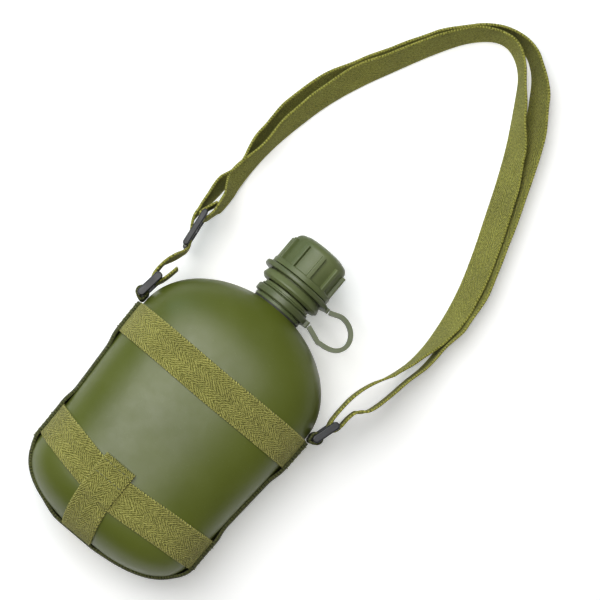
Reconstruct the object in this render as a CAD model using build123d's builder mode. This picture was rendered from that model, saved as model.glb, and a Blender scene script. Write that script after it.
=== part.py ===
from build123d import *
import math
import os

# A one-litre belt canteen with its webbing harness and shoulder strap, lying on its back.
# +Y runs along the bottle to the cap, +Z comes out of its front, and the back webbing rests on z = 0.
# The origin is on that surface, at the middle of the length over the harness and cap.

# Webbing
WEB_WIDTH = 22.0
WEB_THICK = 1.6
LAYER = 0.2  # clearance between two layers

# Bottle
LENGTH = 230.2  # from the webbing under the bottom to the top of the cap
HALF_WIDTH = 64.4  # at the shoulder
FOOT_HALF_WIDTH = 60.0  # where the bottom's rounding starts
HALF_DEPTH = 37.0
BACK_HALF_DEPTH = 37.3  # before the back's flat is cut
FRONT_FULLNESS = 2.5  # exponent of the front's oval
BACK_FULLNESS = 3.0
WALL = 1.2
MID_Z = HALF_DEPTH + LAYER + WEB_THICK
CAP_TOP_Y = LENGTH / 2
WRAP = 2 * (WEB_THICK + LAYER)  # two layers of webbing on the bottle
BOTTOM_Y = WRAP - LENGTH / 2
FOOT_Y = BOTTOM_Y + 30.7
FOOT_POWER = 2.4  # exponent of the bottom's rounding
FOOT_END = 0.96  # share of that rounding that is used, which leaves a flat bottom
SHOULDER_Y = 20.0
NECK_Y = 67.1
NECK_RADIUS = 17.0
SPOUT_RADIUS = 14.1
SPOUT_Y = 73.0
MOUTH_RADIUS = 11.8

# Neck collar
COLLAR_RADIUS = 16.8
GASKET_THICK = 1.2
COLLAR_Y = NECK_Y + GASKET_THICK
RING_SEAT_RADIUS = 15.4
RING_SEAT_LOW_Y = 70.4
RING_SEAT_HIGH_Y = 75.9
RIDGE_RADIUS = 17.3
RIDGE_HIGH_Y = 77.3
STEM_RADIUS = 16.3
STEM_HIGH_Y = 79.2
MOUTH_Y = 109.3

# Screw thread between neck and cap: two starts, right-handed
THREAD_ROOT = 13.6
THREAD_CREST = 15.0
THREAD_LEAD = 8.0
THREAD_TURNS = 0.75
THREAD_Y = 97.0
THREAD_STARTS = 2
THREAD_WIDTHS = (1.9, 0.9)  # at the root and the crest

# Cap
CAP_LOW_Y = 79.7
CAP_BEAD_RADIUS = 20.9
CAP_GROOVE_LOW_Y = 85.3
CAP_GROOVE_HIGH_Y = 90.2
CAP_GROOVE_RADIUS = 17.9
CAP_SKIRT_HIGH_Y = 94.0
CAP_SKIRT_RADIUS = 21.4
CAP_RADIUS = 18.9
CAP_SHOULDER_Y = 109.4
CAP_CROWN_RADIUS = 14.6
CAP_BORE = 15.45
CAP_CEILING_Y = 111.4
RIB_COUNT = 10
RIB_RADIUS = 21.2
RIB_WIDTH = 3.0
RIB_PHASE = 12.0
SEAL_THICK = 2.0

# Tether
NECK_RING_RADIUS = 18.7
NECK_RING_LOW_Y = 70.8
NECK_RING_HIGH_Y = 75.4
CAP_RING_RADIUS = 24.0
CAP_RING_LOW_Y = 86.2
CAP_RING_HIGH_Y = 89.5
RING_GAP = 0.2
TETHER_THICK = 2.8
TETHER_WIDTH = 6.5
TETHER_REACH = 49.0  # from the bottle's axis to the outside of the loop

# Harness
UPPER_BAND_Y = 6.7
LOWER_BAND_Y = -76.0
SIDE_STRAP_TOP_Y = 18.5
TAB_X = -9.0
TAB_TOP_Y = LOWER_BAND_Y + WEB_WIDTH / 2 + 1.5
STITCH = 2.4
STITCH_THICK = 0.4
STITCH_PITCH = 3.6

# Strap hardware: all bars run along Z
BAR_RADIUS = 2.0
BAR_SPACING = 13.0
RAIL_THICK = 3.6
SLOT_LENGTH = WEB_WIDTH + 1.4
LEFT_BAR = Vector(-69.2, 23.4, MID_Z)
RIGHT_BAR = Vector(69.2, 23.4, MID_Z)
LEFT_LEAN = 6.5  # degrees from +Y, positive towards +X
RIGHT_LEAN = 16.0
SLIDER_CENTRE = Vector(-70.5, 75.0, 27.0)
SLIDER_LEAN = -8.3
SLIDER_BAR_RADIUS = 1.4
SLIDER_BAR_SPACING = 10.5
WRAP_RADIUS = 3.4  # of the webbing's middle round a buckle bar
FLOOR_Z = WEB_WIDTH / 2 + 0.3  # middle of the webbing where it stands on edge

os.makedirs("parts", exist_ok=True)


def write(builder, name):
    """Labels a finished piece and writes it."""
    builder.part.label = name
    export_step(builder.part, f"parts/{name}.step")


# ---------------------------------------------------------------- the bottle's shape


def foot(share):
    """How much of the full width is left at a share of the bottom's rounding."""
    return (1 - share**FOOT_POWER) ** (1 / FOOT_POWER)


def dome(y, full, at_neck):
    """Half-width of the elliptic shoulder at y, which reaches at_neck at the neck."""
    rise = (NECK_Y - SHOULDER_Y) / math.sqrt(1 - (at_neck / full) ** 2)
    return full * math.sqrt(1 - ((y - SHOULDER_Y) / rise) ** 2)


def half_sizes(y):
    """Half-width, front half-depth and back half-depth of the bottle at y."""
    if y >= SHOULDER_Y:
        return (
            dome(y, HALF_WIDTH, NECK_RADIUS),
            dome(y, HALF_DEPTH, NECK_RADIUS),
            dome(y, BACK_HALF_DEPTH, NECK_RADIUS),
        )
    if y >= FOOT_Y:
        share = (y - FOOT_Y) / (SHOULDER_Y - FOOT_Y)
        widen = (1 - math.cos(math.pi * share)) / 2
        width = FOOT_HALF_WIDTH + (HALF_WIDTH - FOOT_HALF_WIDTH) * widen
        return width, HALF_DEPTH, BACK_HALF_DEPTH
    left = foot(FOOT_END * (FOOT_Y - y) / (FOOT_Y - BOTTOM_Y))
    return FOOT_HALF_WIDTH * left, HALF_DEPTH * left, BACK_HALF_DEPTH * left


def section_plane(y):
    """A plane across the bottle, with +X to the right and +Z up."""
    return Plane(origin=(0, y, MID_Z), x_dir=(1, 0, 0), z_dir=(0, -1, 0))


def oval(y, grow, count=32):
    """Points round the bottle's section at y, grown outwards."""
    width, front, back = half_sizes(y)
    near_neck = max(0.0, (y - SHOULDER_Y) / (NECK_Y - SHOULDER_Y)) ** 2
    points = []
    for i in range(count):
        angle = 2 * math.pi * i / count
        across, up = math.cos(angle), math.sin(angle)
        depth, power = (front, FRONT_FULLNESS) if up >= 0 else (back, BACK_FULLNESS)
        power += (2 - power) * near_neck
        reach = (abs(across) ** power + abs(up) ** power) ** (-1 / power)
        points.append(((width + grow) * reach * across, (depth + grow) * reach * up))
    return points


def section(y, grow):
    """The bottle's section at y, grown outwards, as a flat face."""
    with BuildSketch(section_plane(y)) as outline:
        with BuildLine():
            Spline(*oval(y, grow), periodic=True)
        make_face()
    return outline.sketch


def bottle_form(zones, grow, back_z):
    """The bottle's shape lofted through the sections of each zone, cut flat at back_z."""
    with BuildPart() as form:
        for ys in zones:
            loft(sections=[section(y, grow) for y in ys])
        with BuildSketch(Plane.XY.offset(back_z)):
            Rectangle(3 * HALF_WIDTH, 2 * LENGTH)
        extrude(amount=-5, mode=Mode.SUBTRACT)
    return form.part


FOOT_YS = [FOOT_Y + (BOTTOM_Y - FOOT_Y) * share for share in (0, 0.3, 0.58, 0.78, 0.92, 1)]
SIDE_YS = [FOOT_Y + (SHOULDER_Y - FOOT_Y) * share for share in (0, 0.3, 0.7, 1)]
DOME_YS = [
    SHOULDER_Y + (NECK_Y - SHOULDER_Y) * share for share in (0, 0.27, 0.52, 0.73, 0.88, 0.95, 1)
]


def flank(y, grow):
    """A point on the right edge of the bottle's outline, moved out by grow."""
    step = 0.05
    low, high = half_sizes(y - step)[0], half_sizes(y + step)[0]
    lean = math.atan2(high - low, 2 * step)
    return Vector(half_sizes(y)[0] + grow * math.cos(lean), y - grow * math.sin(lean))


# ---------------------------------------------------------------- bottle, neck and seals

BACK_Z = MID_Z - HALF_DEPTH
CAVITY_FOOT_YS = FOOT_YS[:-1] + [BOTTOM_Y + WALL]
CAVITY_DOME_YS = DOME_YS[:-1] + [NECK_Y - WALL]

with BuildPart() as bottle_shell:
    add(bottle_form((FOOT_YS, SIDE_YS, DOME_YS), 0, BACK_Z))
    add(
        bottle_form((CAVITY_FOOT_YS, SIDE_YS, CAVITY_DOME_YS), -WALL, BACK_Z + WALL),
        mode=Mode.SUBTRACT,
    )
    with BuildSketch(section_plane(SPOUT_Y)):
        Circle(SPOUT_RADIUS)
    extrude(amount=SPOUT_Y - NECK_Y + WALL)
    with BuildSketch(section_plane(SPOUT_Y)):
        Circle(SPOUT_RADIUS - WALL)
    extrude(amount=SPOUT_Y - NECK_Y + 4 * WALL, mode=Mode.SUBTRACT)
write(bottle_shell, "bottle_shell")

NECK_AXIS = Axis((0, 0, MID_Z), (0, 1, 0))
NECK_PLANE = Plane(origin=(0, 0, MID_Z), x_dir=(1, 0, 0), z_dir=(0, 0, 1))

with BuildPart() as neck_gasket:
    with BuildSketch(NECK_PLANE):
        with Locations(((SPOUT_RADIUS + COLLAR_RADIUS) / 2, NECK_Y + GASKET_THICK / 2)):
            Rectangle(COLLAR_RADIUS - SPOUT_RADIUS - 0.8, GASKET_THICK)
    revolve(axis=NECK_AXIS)
write(neck_gasket, "neck_gasket")


def helical_ridge(low_y, turns, radii, widths, phase):
    """A helical bar about the neck's axis: its radii and the widths there, inner first."""
    path = Helix(
        pitch=THREAD_LEAD,
        height=turns * THREAD_LEAD,
        radius=radii[0],
        center=(0, low_y, MID_Z),
        direction=(0, 1, 0),
    )
    start, heading = path @ 0, path % 0
    outward = (start - Vector(0, low_y, MID_Z)).normalized()
    with BuildPart(mode=Mode.PRIVATE) as ridge:
        with BuildSketch(Plane(origin=start, x_dir=outward, z_dir=heading)):
            with BuildLine():
                Polyline(
                    (0, -widths[0] / 2),
                    (radii[1] - radii[0], -widths[1] / 2),
                    (radii[1] - radii[0], widths[1] / 2),
                    (0, widths[0] / 2),
                    close=True,
                )
            make_face()
        sweep(path=path, is_frenet=True)
    return ridge.part.rotate(NECK_AXIS, phase)


with BuildPart() as neck_collar:
    with BuildSketch(NECK_PLANE):
        with BuildLine():
            Polyline(
                (SPOUT_RADIUS + LAYER, COLLAR_Y),
                (COLLAR_RADIUS, COLLAR_Y),
                (COLLAR_RADIUS, RING_SEAT_LOW_Y - 0.5),
                (COLLAR_RADIUS - 0.5, RING_SEAT_LOW_Y),
                (RING_SEAT_RADIUS, RING_SEAT_LOW_Y),
                (RING_SEAT_RADIUS, RING_SEAT_HIGH_Y),
                (RIDGE_RADIUS - 0.4, RING_SEAT_HIGH_Y),
                (RIDGE_RADIUS, RING_SEAT_HIGH_Y + 0.4),
                (RIDGE_RADIUS, RIDGE_HIGH_Y - 0.5),
                (STEM_RADIUS, RIDGE_HIGH_Y),
                (STEM_RADIUS, STEM_HIGH_Y - 0.4),
                (THREAD_ROOT, STEM_HIGH_Y + 1.0),
                (THREAD_ROOT, MOUTH_Y - 0.6),
                (THREAD_ROOT - 0.6, MOUTH_Y),
                (MOUTH_RADIUS, MOUTH_Y),
                (MOUTH_RADIUS, SPOUT_Y + LAYER),
                (SPOUT_RADIUS + LAYER, SPOUT_Y + LAYER),
                close=True,
            )
        make_face()
    revolve(axis=NECK_AXIS)
    for i in range(THREAD_STARTS):
        add(
            helical_ridge(
                THREAD_Y,
                THREAD_TURNS,
                (THREAD_ROOT - 0.3, THREAD_CREST),
                THREAD_WIDTHS,
                360 * i / THREAD_STARTS,
            )
        )
write(neck_collar, "neck_collar")

with BuildPart() as cap:
    with BuildSketch(NECK_PLANE):
        with BuildLine():
            Polyline(
                (CAP_BORE, CAP_LOW_Y),
                (CAP_BEAD_RADIUS - 1.6, CAP_LOW_Y),
                (CAP_BEAD_RADIUS, CAP_LOW_Y + 1.4),
                (CAP_BEAD_RADIUS, CAP_LOW_Y + 2.6),
                (CAP_BEAD_RADIUS - 1.0, CAP_GROOVE_LOW_Y),
                (CAP_GROOVE_RADIUS, CAP_GROOVE_LOW_Y),
                (CAP_GROOVE_RADIUS, CAP_GROOVE_HIGH_Y),
                (CAP_SKIRT_RADIUS - 0.3, CAP_GROOVE_HIGH_Y),
                (CAP_SKIRT_RADIUS, CAP_GROOVE_HIGH_Y + 0.3),
                (CAP_SKIRT_RADIUS, CAP_SKIRT_HIGH_Y - 0.6),
                (CAP_SKIRT_RADIUS - 0.6, CAP_SKIRT_HIGH_Y),
                (CAP_RADIUS, CAP_SKIRT_HIGH_Y),
                (CAP_RADIUS, CAP_SHOULDER_Y),
            )
            ThreePointArc(
                (CAP_RADIUS, CAP_SHOULDER_Y),
                ((CAP_RADIUS + CAP_CROWN_RADIUS) / 2 + 1.0, (CAP_SHOULDER_Y + CAP_TOP_Y) / 2 + 0.8),
                (CAP_CROWN_RADIUS, CAP_TOP_Y - 0.6),
            )
            Polyline(
                (CAP_CROWN_RADIUS, CAP_TOP_Y - 0.6),
                (CAP_CROWN_RADIUS - 1.0, CAP_TOP_Y),
                (0, CAP_TOP_Y),
                (0, CAP_CEILING_Y),
                (CAP_BORE, CAP_CEILING_Y),
                (CAP_BORE, CAP_LOW_Y),
            )
        make_face()
    revolve(axis=NECK_AXIS)
    for i in range(THREAD_STARTS):
        add(
            helical_ridge(
                THREAD_Y - THREAD_LEAD / THREAD_STARTS / 2,
                THREAD_TURNS,
                (CAP_BORE + 0.3, CAP_BORE - THREAD_CREST + THREAD_ROOT),
                THREAD_WIDTHS,
                360 * i / THREAD_STARTS,
            )
        )
    with BuildSketch(section_plane(CAP_SKIRT_HIGH_Y - 0.3)):
        with PolarLocations((CAP_RADIUS + RIB_RADIUS) / 2 - 0.4, RIB_COUNT, start_angle=RIB_PHASE):
            RectangleRounded(RIB_RADIUS - CAP_RADIUS + 0.8, RIB_WIDTH, 0.7)
    extrude(amount=-(CAP_SHOULDER_Y - CAP_SKIRT_HIGH_Y + 0.3))
write(cap, "cap")

with BuildPart() as cap_seal:
    with BuildSketch(section_plane(MOUTH_Y + 0.05)):
        Circle(CAP_BORE - 0.2)
    extrude(amount=-SEAL_THICK)
    fillet(cap_seal.edges().filter_by(GeomType.CIRCLE), 0.3)
write(cap_seal, "cap_seal")

# ---------------------------------------------------------------- the cap's tether


def tether_ring(low_y, high_y, inner, outer, lug):
    """A ring about the neck with a lug on its right side, where the tether's strap meets it."""
    with BuildPart() as ring:
        with BuildSketch(NECK_PLANE):
            with Locations(((inner + outer) / 2, (low_y + high_y) / 2)):
                RectangleRounded(outer - inner, high_y - low_y, 0.9)
        revolve(axis=NECK_AXIS)
        with BuildSketch(section_plane(high_y - 0.2)):
            with Locations((outer + lug / 2 - 1.0, 0)):
                RectangleRounded(lug + 2.0, TETHER_WIDTH, 0.9)
        extrude(amount=high_y - low_y - 0.4)
    return ring.part


with BuildPart() as tether_neck_ring:
    add(
        tether_ring(
            NECK_RING_LOW_Y, NECK_RING_HIGH_Y, RING_SEAT_RADIUS + RING_GAP, NECK_RING_RADIUS, 2.5
        )
    )
write(tether_neck_ring, "tether_neck_ring")

with BuildPart() as tether_cap_ring:
    add(
        tether_ring(
            CAP_RING_LOW_Y, CAP_RING_HIGH_Y, CAP_GROOVE_RADIUS + RING_GAP, CAP_RING_RADIUS, 1.5
        )
    )
write(tether_cap_ring, "tether_cap_ring")

with BuildPart() as tether_strap:
    with BuildSketch(Plane.XY.offset(MID_Z)):
        with BuildLine():
            Spline(
                (CAP_RING_RADIUS + 2.1, (CAP_RING_LOW_Y + CAP_RING_HIGH_Y) / 2),
                (33.5, 90.4),
                (43.5, 87.4),
                (TETHER_REACH - TETHER_THICK / 2, 79.2),
                (43.0, 71.6),
                (33.5, 69.4),
                (NECK_RING_RADIUS + 3.1, (NECK_RING_LOW_Y + NECK_RING_HIGH_Y) / 2),
                tangents=[(1, 0.25), (-1, 0.35)],
            )
        trace(line_width=TETHER_THICK)
    extrude(amount=TETHER_WIDTH / 2 - 0.4, both=True)
write(tether_strap, "tether_strap")

# ---------------------------------------------------------------- webbing round the bottle


def band(middle_y):
    """A webbing loop round the bottle, flat where it lies under the back."""
    low, high = middle_y - WEB_WIDTH / 2, middle_y + WEB_WIDTH / 2
    split = max(low, FOOT_Y)
    zones = [[split, (split + high) / 2, high]]
    if low < FOOT_Y:
        zones.append([low, (low + FOOT_Y) / 2, FOOT_Y])
    with BuildPart() as loop:
        add(bottle_form(zones, LAYER + WEB_THICK, 0))
        add(bottle_form(zones, LAYER, -1), mode=Mode.SUBTRACT)
    return loop.part


with BuildPart() as upper_band:
    add(band(UPPER_BAND_Y))
write(upper_band, "upper_band")

with BuildPart() as lower_band:
    add(band(LOWER_BAND_Y))
write(lower_band, "lower_band")


def corner_radii(points):
    """For each corner of a route, the radius of the largest arc that its runs leave room for."""
    runs = [b - a for a, b in zip(points, points[1:])]
    radii = []
    for run, following in zip(runs, runs[1:]):
        half_turn = math.radians(run.get_angle(following)) / 2
        radii.append(0.45 * min(run.length, following.length) / math.tan(half_turn))
    return radii


def rounding(share, grow, which=0):
    """Half-size and y at a share of the foot's rounding, moved out by grow, for the bottle's
    width (which 0), front depth (1) or back depth (2)."""
    step = 0.01
    ys = [FOOT_Y + (BOTTOM_Y - FOOT_Y) * min(max(share + d, 0), 1) for d in (-step, 0, step)]
    before, here, after = (Vector(half_sizes(y)[which], y) for y in ys)
    along = (after - before).normalized()
    return here + Vector(-along.Y, along.X) * grow


SIDE_LAYER = LAYER + WEB_THICK + LAYER + WEB_THICK / 2  # middle of the outer webbing layer

with BuildPart() as side_strap:
    with BuildSketch(Plane.XY.offset(MID_Z)):
        right = [flank(y, SIDE_LAYER) for y in (SIDE_STRAP_TOP_Y, -5, -30, -55, FOOT_Y)]
        right += [rounding(share, SIDE_LAYER) for share in (0.3, 0.58, 0.78, 0.92, 0.98)]
        right.append(Vector(FOOT_HALF_WIDTH * foot(FOOT_END) * 0.75, BOTTOM_Y - SIDE_LAYER))
        left = [Vector(-p.X, p.Y) for p in reversed(right)]
        with BuildLine():
            Spline(*right, *left)
        trace(line_width=WEB_THICK)
    extrude(amount=WEB_WIDTH / 2, both=True)
write(side_strap, "side_strap")


# The tab lies over the lower band in front, then under the side strap below the bottle,
# and ends at the lower band's edge behind.
INNER_LAYER = LAYER + WEB_THICK / 2
LOWER_BAND_LOW_Y = LOWER_BAND_Y - WEB_WIDTH / 2
ROUND_LAYER = INNER_LAYER + 0.4  # where runs between points would cut into the rounding
OVER_LAYER = SIDE_LAYER + 0.15
TAB_FRONT_SHARES = ((0.26, OVER_LAYER), (0.42, ROUND_LAYER), (0.58, ROUND_LAYER))
TAB_LOW_SHARES = (0.72, 0.84, 0.92)
TAB_FLAT_SHARE = 0.97  # where the tab's flat under the bottom starts
TAB_LIFT = 0.1  # of the tab's end off the floor, behind


def tab_route():
    """Points of the tab's middle in Y and Z, from its top end in front to its end behind."""
    front = [Vector(y, HALF_DEPTH + OVER_LAYER) for y in (TAB_TOP_Y, FOOT_Y)]
    shares = TAB_FRONT_SHARES + tuple((share, ROUND_LAYER) for share in TAB_LOW_SHARES)
    for share, grow in shares:
        point = rounding(share, grow, 1)
        front.append(Vector(point.Y, point.X))
    under = BOTTOM_Y - INNER_LAYER
    front.append(Vector(under, rounding(TAB_FLAT_SHARE, 0, 1).X))
    behind = [Vector(under, -rounding(TAB_FLAT_SHARE, 0, 2).X)]
    for share in reversed((0.5,) + TAB_LOW_SHARES):
        point = rounding(share, ROUND_LAYER, 2)
        behind.append(Vector(point.Y, max(-point.X, TAB_LIFT - HALF_DEPTH - INNER_LAYER)))
    resting = TAB_LIFT - HALF_DEPTH - INNER_LAYER
    behind += [Vector(y, resting) for y in (LOWER_BAND_LOW_Y - 5, LOWER_BAND_LOW_Y - LAYER)]
    return [(p.X, p.Y + MID_Z) for p in front + behind]


with BuildPart() as bottom_tab:
    with BuildSketch(Plane.YZ.offset(TAB_X)):
        with BuildLine():
            route = [Vector(*p) for p in tab_route()]
            FilletPolyline(*route, radius=corner_radii(route))
        trace(line_width=WEB_THICK)
    extrude(amount=WEB_WIDTH / 2, both=True)
write(bottom_tab, "bottom_tab")

# ---------------------------------------------------------------- loops, buckles and slider


def end_loop(bar, foot_point):
    """A teardrop of webbing from the side strap's end round a buckle's lower bar."""
    inside = BAR_RADIUS + 0.4
    with BuildPart() as loop:
        with BuildSketch(Plane.XY.offset(MID_Z)):
            with Locations((bar.X, bar.Y)):
                Circle(inside + WEB_THICK)
            with Locations(foot_point):
                Circle(WEB_THICK)
            make_hull()
            with BuildSketch(mode=Mode.PRIVATE) as hollow:
                with Locations((bar.X, bar.Y)):
                    Circle(inside)
                with Locations(foot_point):
                    Circle(0.2)
                make_hull()
            add(hollow.sketch, mode=Mode.SUBTRACT)
        extrude(amount=WEB_WIDTH / 2, both=True)
    return loop.part


LOOP_FOOT = flank(SIDE_STRAP_TOP_Y, SIDE_LAYER) + Vector(0, WEB_THICK + LAYER)

with BuildPart() as left_loop:
    add(end_loop(LEFT_BAR, (-LOOP_FOOT.X, LOOP_FOOT.Y)))
write(left_loop, "left_loop")

with BuildPart() as right_loop:
    add(end_loop(RIGHT_BAR, (LOOP_FOOT.X, LOOP_FOOT.Y)))
write(right_loop, "right_loop")


def frame_ring(centre, lean, bars, radius, spacing):
    """A ring with bars across it: centre is on its first bar, and lean turns it from +Y."""
    heading = math.radians(90 - lean)
    along = Vector(math.cos(heading), math.sin(heading))
    length = spacing * (bars - 1)
    side_plane = Plane(origin=centre, x_dir=along, z_dir=(0, 0, 1))
    with BuildPart() as ring:
        with BuildSketch(side_plane):
            with Locations(*[(spacing * i, 0) for i in range(bars)]):
                Circle(radius)
        extrude(amount=SLOT_LENGTH / 2 + RAIL_THICK - 0.8, both=True)
        for side in (-1, 1):
            rail_plane = side_plane.offset(side * (SLOT_LENGTH / 2 + RAIL_THICK / 2))
            with BuildSketch(rail_plane):
                with Locations((length / 2, 0)):
                    SlotOverall(length + 2 * radius + 2.0, max(2 * radius + 1, 3.4))
            extrude(amount=RAIL_THICK / 2, both=True)
        rims = ring.faces().filter_by(Plane.XY).group_by(Axis.Z)
        fillet((rims[0] + rims[-1]).edges(), 0.9)
    return ring.part


with BuildPart() as left_buckle:
    add(frame_ring(LEFT_BAR, LEFT_LEAN, 2, BAR_RADIUS, BAR_SPACING))
write(left_buckle, "left_buckle")

with BuildPart() as right_buckle:
    add(frame_ring(RIGHT_BAR, RIGHT_LEAN, 2, BAR_RADIUS, BAR_SPACING))
write(right_buckle, "right_buckle")

SLIDER_HEADING = math.radians(90 - SLIDER_LEAN)
SLIDER_ALONG = Vector(math.cos(SLIDER_HEADING), math.sin(SLIDER_HEADING))
SLIDER_OUT = Vector(-SLIDER_ALONG.Y, SLIDER_ALONG.X)  # away from the bottle

with BuildPart() as slider:
    first = SLIDER_CENTRE - SLIDER_ALONG * SLIDER_BAR_SPACING
    add(frame_ring(first, SLIDER_LEAN, 3, SLIDER_BAR_RADIUS, SLIDER_BAR_SPACING))
write(slider, "slider")

# ---------------------------------------------------------------- the shoulder strap


def at_slider(along, out, z):
    """A point of the strap's route near the slider, in its own directions."""
    point = SLIDER_CENTRE + SLIDER_ALONG * along + SLIDER_OUT * out
    return Vector(point.X, point.Y, z)


def upper_bar(bar, lean):
    """Middle of a buckle's upper bar."""
    heading = math.radians(90 - lean)
    return bar + Vector(math.cos(heading), math.sin(heading)) * BAR_SPACING


LEFT_TOP = upper_bar(LEFT_BAR, LEFT_LEAN)
RIGHT_TOP = upper_bar(RIGHT_BAR, RIGHT_LEAN)


def strap(route, name):
    """Webbing on edge along a route whose corners are arcs as large as their runs allow."""
    points = [Vector(*p) for p in route]
    radii = corner_radii(points)
    with BuildPart() as ribbon:
        with BuildLine() as line:
            FilletPolyline(*points, radius=radii)
        start = line.wires()[0] @ 0
        heading = line.wires()[0] % 0
        level = Vector(heading.X, heading.Y, 0)
        with BuildSketch(Plane(origin=start, x_dir=level.cross(Vector(0, 0, 1)), z_dir=level)):
            Rectangle(WEB_THICK, WEB_WIDTH)
        above = line.wires()[0].moved(Location((0, 0, 60)))
        sweep(path=line.wires()[0], binormal=above)
    length = line.wires()[0].length
    share = ribbon.part.volume / (length * WEB_THICK * WEB_WIDTH)
    print(name, "length", round(length, 1), "volume share", round(share, 4))
    print("  radii", [round(r, 1) for r in radii])
    return ribbon.part


def around(bar, radius, outer_leg, inner_leg):
    """Corners of a turn under a bar, from its right side to its left."""
    return [
        bar + Vector(radius, outer_leg),
        bar + Vector(radius, -radius),
        bar + Vector(-radius, -radius),
        bar + Vector(-radius, inner_leg),
    ]


# The sewn end round the left buckle, from its tail to halfway up to the slider
left_turn = around(LEFT_TOP, WRAP_RADIUS, 10.0, 10.0)
left_turn[0] += Vector(2.0, 2.0)
below_slider = at_slider(-18, -1.0, 29)
left_joint = (left_turn[-1] + below_slider) * 0.5
with BuildPart() as strap_left_end:
    add(strap(left_turn + [left_joint], "strap_left_end"))
write(strap_left_end, "strap_left_end")

# The turn under the right buckle's upper bar
right_turn = around(RIGHT_TOP, WRAP_RADIUS, 6.0, 6.0)
with BuildPart() as strap_right_turn:
    add(strap(right_turn, "strap_right_turn"))
write(strap_right_turn, "strap_right_turn")

# The outer run: through the slider, round the far end and down to the right buckle
OUTER_ROUTE = [
    left_joint,
    below_slider,
    at_slider(-10.5, -3.1, 27),
    at_slider(0, 3.1, 27),
    at_slider(9, 5.4, 26),
    (-74.6, 101.5, 19.5),
    (-73.0, 121.0, 13.0),
    (-74.4, 144.0, FLOOR_Z),
    (-70.4, 171.5, FLOOR_Z),
    (-64.0, 197.0, FLOOR_Z),
    (-54.4, 221.5, FLOOR_Z),
    (-43.6, 244.5, FLOOR_Z),
    (-32.4, 267.5, FLOOR_Z),
    (-19.8, 290.5, FLOOR_Z),
    (1.5, 306.5, FLOOR_Z),
    (26.0, 300.0, FLOOR_Z),
    (40.5, 277.5, FLOOR_Z),
    (52.5, 253.5, FLOOR_Z),
    (61.5, 229.0, FLOOR_Z),
    (71.0, 205.0, FLOOR_Z),
    (79.8, 181.0, FLOOR_Z),
    (88.9, 156.5, FLOOR_Z),
    (93.7, 130.0, FLOOR_Z),
    (95.4, 106.0, 13.5),
    (91.0, 87.0, 22.0),
    (87.8, 70.0, 30.0),
    (83.5, 56.0, 36.5),
    right_turn[0] + Vector(0, 9),
    right_turn[0],
]
with BuildPart() as strap_outer:
    add(strap(OUTER_ROUTE, "strap_outer"))
write(strap_outer, "strap_outer")

# The inner run: back from the right buckle, and sewn round the slider's upper bar
SLIDER_WRAP = 2.6
INNER_ROUTE = [
    right_turn[-1],
    right_turn[-1] + Vector(0, 9),
    (71.5, 62.5, 35.0),
    (76.0, 74.0, 29.0),
    (83.0, 86.0, 20.5),
    (88.0, 106.5, 13.0),
    (86.3, 130.0, FLOOR_Z),
    (81.8, 154.5, FLOOR_Z),
    (73.9, 179.0, FLOOR_Z),
    (64.4, 203.0, FLOOR_Z),
    (55.4, 226.5, FLOOR_Z),
    (45.0, 250.0, FLOOR_Z),
    (33.0, 272.0, FLOOR_Z),
    (21.5, 292.0, FLOOR_Z),
    (2.0, 300.5, FLOOR_Z),
    (-15.6, 286.0, FLOOR_Z),
    (-28.4, 264.0, FLOOR_Z),
    (-39.2, 241.5, FLOOR_Z),
    (-50.0, 218.5, FLOOR_Z),
    (-59.4, 194.0, FLOOR_Z),
    (-64.9, 169.5, FLOOR_Z),
    (-69.0, 144.5, FLOOR_Z),
    (-68.6, 122.0, 13.0),
    (-67.2, 103.0, 19.0),
    at_slider(20, -5.4, 25),
    at_slider(10.5 - SLIDER_WRAP, -SLIDER_WRAP, 27),
    at_slider(10.5 - SLIDER_WRAP, SLIDER_WRAP, 27),
    at_slider(11.5, 2.4, 27),
    at_slider(20, -2.6, 26),
]
with BuildPart() as strap_inner:
    add(strap(INNER_ROUTE, "strap_inner"))
write(strap_inner, "strap_inner")

# ---------------------------------------------------------------- stitching


def stitch_square(half, pitch):
    """Middles and directions of the stitches round a square, in its own plane."""
    count = int(2 * half / pitch)
    spots = [(i + 0.5) * 2 * half / count - half for i in range(count)]
    return [(spot, side * half, 0) for spot in spots for side in (-1, 1)] + [
        (side * half, spot, 90) for spot in spots for side in (-1, 1)
    ]


STITCH_HALF = WEB_WIDTH / 2 - 2.5
OUTER_FACE = SIDE_LAYER + WEB_THICK / 2 + STITCH_THICK / 2 + 0.35

with BuildPart() as band_stitching:
    for middle_y in (UPPER_BAND_Y, LOWER_BAND_Y):
        for along, across, turn in stitch_square(STITCH_HALF, STITCH_PITCH):
            spot = flank(max(middle_y + along, FOOT_Y), OUTER_FACE)
            for side in (-1, 1):
                size = (STITCH, 0.5) if turn == 0 else (0.5, STITCH)
                place = (side * spot.X, middle_y + along, MID_Z + across)
                with Locations(place):
                    Box(STITCH_THICK, *size)
write(band_stitching, "band_stitching")

with BuildPart() as tab_stitching:
    for row_y in (TAB_TOP_Y - 2.5, LOWER_BAND_Y + 1.0):
        row_z = MID_Z + HALF_DEPTH + OUTER_FACE
        with Locations((TAB_X, row_y, row_z)):
            with GridLocations(STITCH_PITCH, 1, 5, 1):
                Box(STITCH, 0.5, STITCH_THICK)
write(tab_stitching, "tab_stitching")
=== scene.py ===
import math

import bmesh
import bpy
from mathutils import Matrix, Vector
from mathutils.bvhtree import BVHTree


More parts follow.
